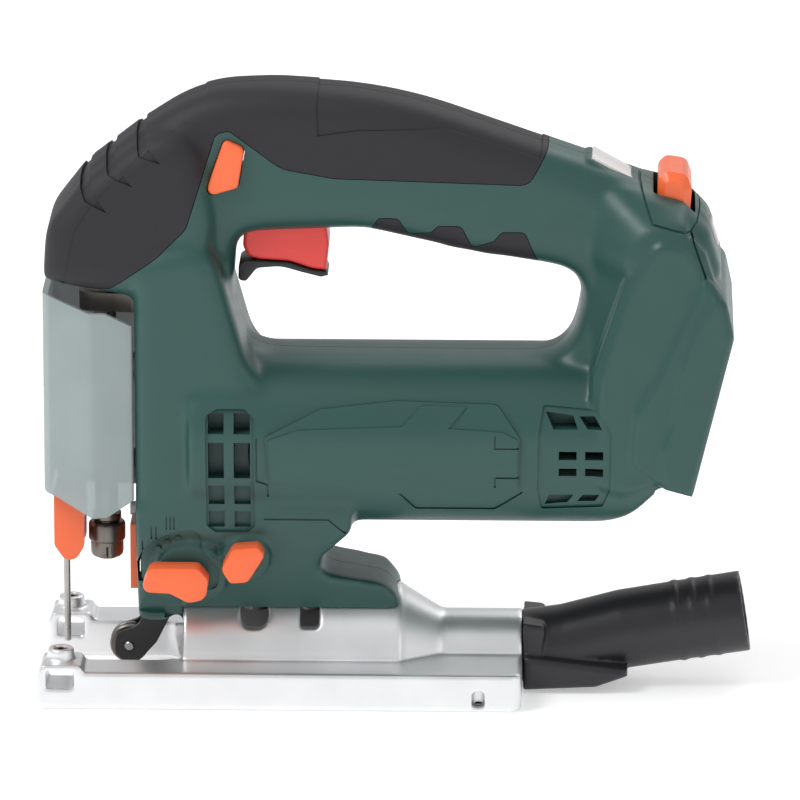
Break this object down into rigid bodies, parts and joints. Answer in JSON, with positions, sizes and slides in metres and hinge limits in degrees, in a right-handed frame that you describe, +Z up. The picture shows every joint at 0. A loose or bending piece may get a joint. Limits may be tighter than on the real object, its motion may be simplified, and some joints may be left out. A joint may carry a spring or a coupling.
{
  "type": "cordless jigsaw",
  "caption": "Cordless jigsaw with a closed D-handle, orange controls, clear chip guard, tilting cast-metal base and a dark dust nozzle at the rear.",
  "frame": {"origin": "on the underside of the sole, in the parting plane of the housing, below the middle of the motor", "axes": "+X to the tool's rear, +Y to its right side, +Z up from the sole"},
  "size_m": [0.2458, 0.078, 0.2141],
  "materials": {
    "green_housing": "moulded teal-green, fine spark texture",
    "soft_grip": "soft overmould, dark grey with a purple cast",
    "nozzle_plastic": "dark grey moulded plastic",
    "black_plastic": "black moulded plastic",
    "orange_plastic": "orange moulded plastic, satin",
    "red_plastic": "red moulded plastic, satin",
    "clear_guard": "frosted clear plastic",
    "white_plastic": "pale blank plates and lens",
    "cast_base": "die-cast, machined and bright",
    "steel": "ground steel",
    "dark_steel": "dark oiled steel",
    "rotor_metal": "laminated core with copper windings",
    "brass": "brass and bronze"
  },
  "bodies": {
    "housing": {"housing_left": "green_housing", "housing_right": "green_housing", "grip_cover_left": "soft_grip", "grip_cover_right": "soft_grip", "finger_pad_left": "soft_grip", "finger_pad_right": "soft_grip", "badge_plate": "white_plastic", "rear_badge_plate": "white_plastic", "housing_screw_1": "dark_steel", "housing_screw_2": "dark_steel", "housing_screw_3": "dark_steel", "housing_screw_4": "dark_steel", "housing_screw_5": "dark_steel", "housing_screw_6": "dark_steel", "release_pin": "steel", "guard_rod": "steel", "gear_case": "cast_base", "plunger_bush_lower": "brass", "plunger_bush_upper": "brass", "gear_shaft": "steel", "motor_can": "steel", "bearing_front": "steel", "bearing_rear": "steel", "brush_card": "black_plastic", "air_nozzle": "orange_plastic", "led_lens": "white_plastic", "switch_module": "black_plastic", "electronics_module": "black_plastic", "terminal_block": "black_plastic", "contact_positive": "brass", "contact_negative": "brass", "battery_rail_left": "steel", "battery_rail_right": "steel", "clamp_bolt_front": "dark_steel", "clamp_bolt_rear": "dark_steel"},
    "trigger": {"trigger": "red_plastic", "trigger_pad": "black_plastic"},
    "lock_bolt": {"lock_bolt": "orange_plastic"},
    "release_button": {"release_button": "orange_plastic"},
    "orbital_lever": {"orbital_lever": "orange_plastic"},
    "blower_lever": {"blower_lever": "orange_plastic"},
    "chip_guard": {"chip_guard": "clear_guard"},
    "blade_release": {"blade_release_lever": "orange_plastic"},
    "plunger": {"plunger": "steel", "blade_clamp_body": "dark_steel"},
    "clamp_sleeve": {"blade_clamp_sleeve": "dark_steel"},
    "rotor": {"rotor": "rotor_metal", "fan": "black_plastic", "pinion": "steel"},
    "gear": {"drive_gear": "steel", "eccentric_pin": "steel"},
    "fork": {"pendulum_fork": "black_plastic", "roller_axle": "steel"},
    "roller": {"guide_roller": "dark_steel"},
    "base": {"base_plate": "cast_base", "sole_plate": "steel", "guide_set_screw_left": "dark_steel", "guide_set_screw_right": "dark_steel", "dust_nozzle": "nozzle_plastic"}
  },
  "joints": [
    {"name": "trigger_squeeze", "type": "slide", "parent": "housing", "child": "trigger", "axis": [0, 0, 1], "range_m": [0, 0.006], "stiffness_N_per_m": 800},
    {"name": "lock_push", "type": "slide", "parent": "housing", "child": "lock_bolt", "axis": [0, 1, 0], "range_m": [0, 0.004]},
    {"name": "battery_release_push", "type": "slide", "parent": "housing", "child": "release_button", "axis": [0, 0, -1], "range_m": [0, 0.004], "stiffness_N_per_m": 900},
    {"name": "orbital_turn", "type": "hinge", "parent": "housing", "child": "orbital_lever", "pos_m": [-0.07, 0, 0.044], "axis": [0, 1, 0], "range_deg": [0, 75]},
    {"name": "blower_turn", "type": "hinge", "parent": "housing", "child": "blower_lever", "pos_m": [-0.0504, 0, 0.0514], "axis": [0, 1, 0], "range_deg": [0, 40]},
    {"name": "chip_guard_pull", "type": "slide", "parent": "housing", "child": "chip_guard", "axis": [-1, 0, 0], "range_m": [0, 0.02]},
    {"name": "blade_release_swing", "type": "hinge", "parent": "housing", "child": "blade_release", "pos_m": [-0.1104, 0, 0.069], "axis": [0, 1, 0], "range_deg": [0, 40], "stiffness_Nm_per_rad": 0.05},
    {"name": "plunger_stroke", "type": "slide", "parent": "housing", "child": "plunger", "axis": [0, 0, 1], "range_m": [-0.013, 0.013]},
    {"name": "clamp_twist", "type": "hinge", "parent": "plunger", "child": "clamp_sleeve", "pos_m": [-0.0997, 0, 0.05], "axis": [0, 0, 1], "range_deg": [0, 35], "stiffness_Nm_per_rad": 0.02},
    {"name": "rotor_spin", "type": "hinge", "parent": "housing", "child": "rotor", "pos_m": [0, 0, 0.0866], "axis": [1, 0, 0], "continuous": true},
    {"name": "gear_spin", "type": "hinge", "parent": "housing", "child": "gear", "pos_m": [0, 0, 0.1118], "axis": [1, 0, 0], "continuous": true},
    {"name": "fork_swing", "type": "hinge", "parent": "housing", "child": "fork", "pos_m": [-0.0795, 0, 0.034], "axis": [0, 1, 0], "range_deg": [0, 6]},
    {"name": "roller_spin", "type": "hinge", "parent": "fork", "child": "roller", "pos_m": [-0.0921, 0, 0.0124], "axis": [0, 1, 0], "continuous": true},
    {"name": "base_tilt", "type": "hinge", "parent": "housing", "child": "base", "pos_m": [0, 0, 0.01], "axis": [1, 0, 0], "range_deg": [-45, 45]}
  ],
  "couplings": [
    {"joint": "gear_spin", "follows": "rotor_spin", "ratio": -0.23529}
  ]
}
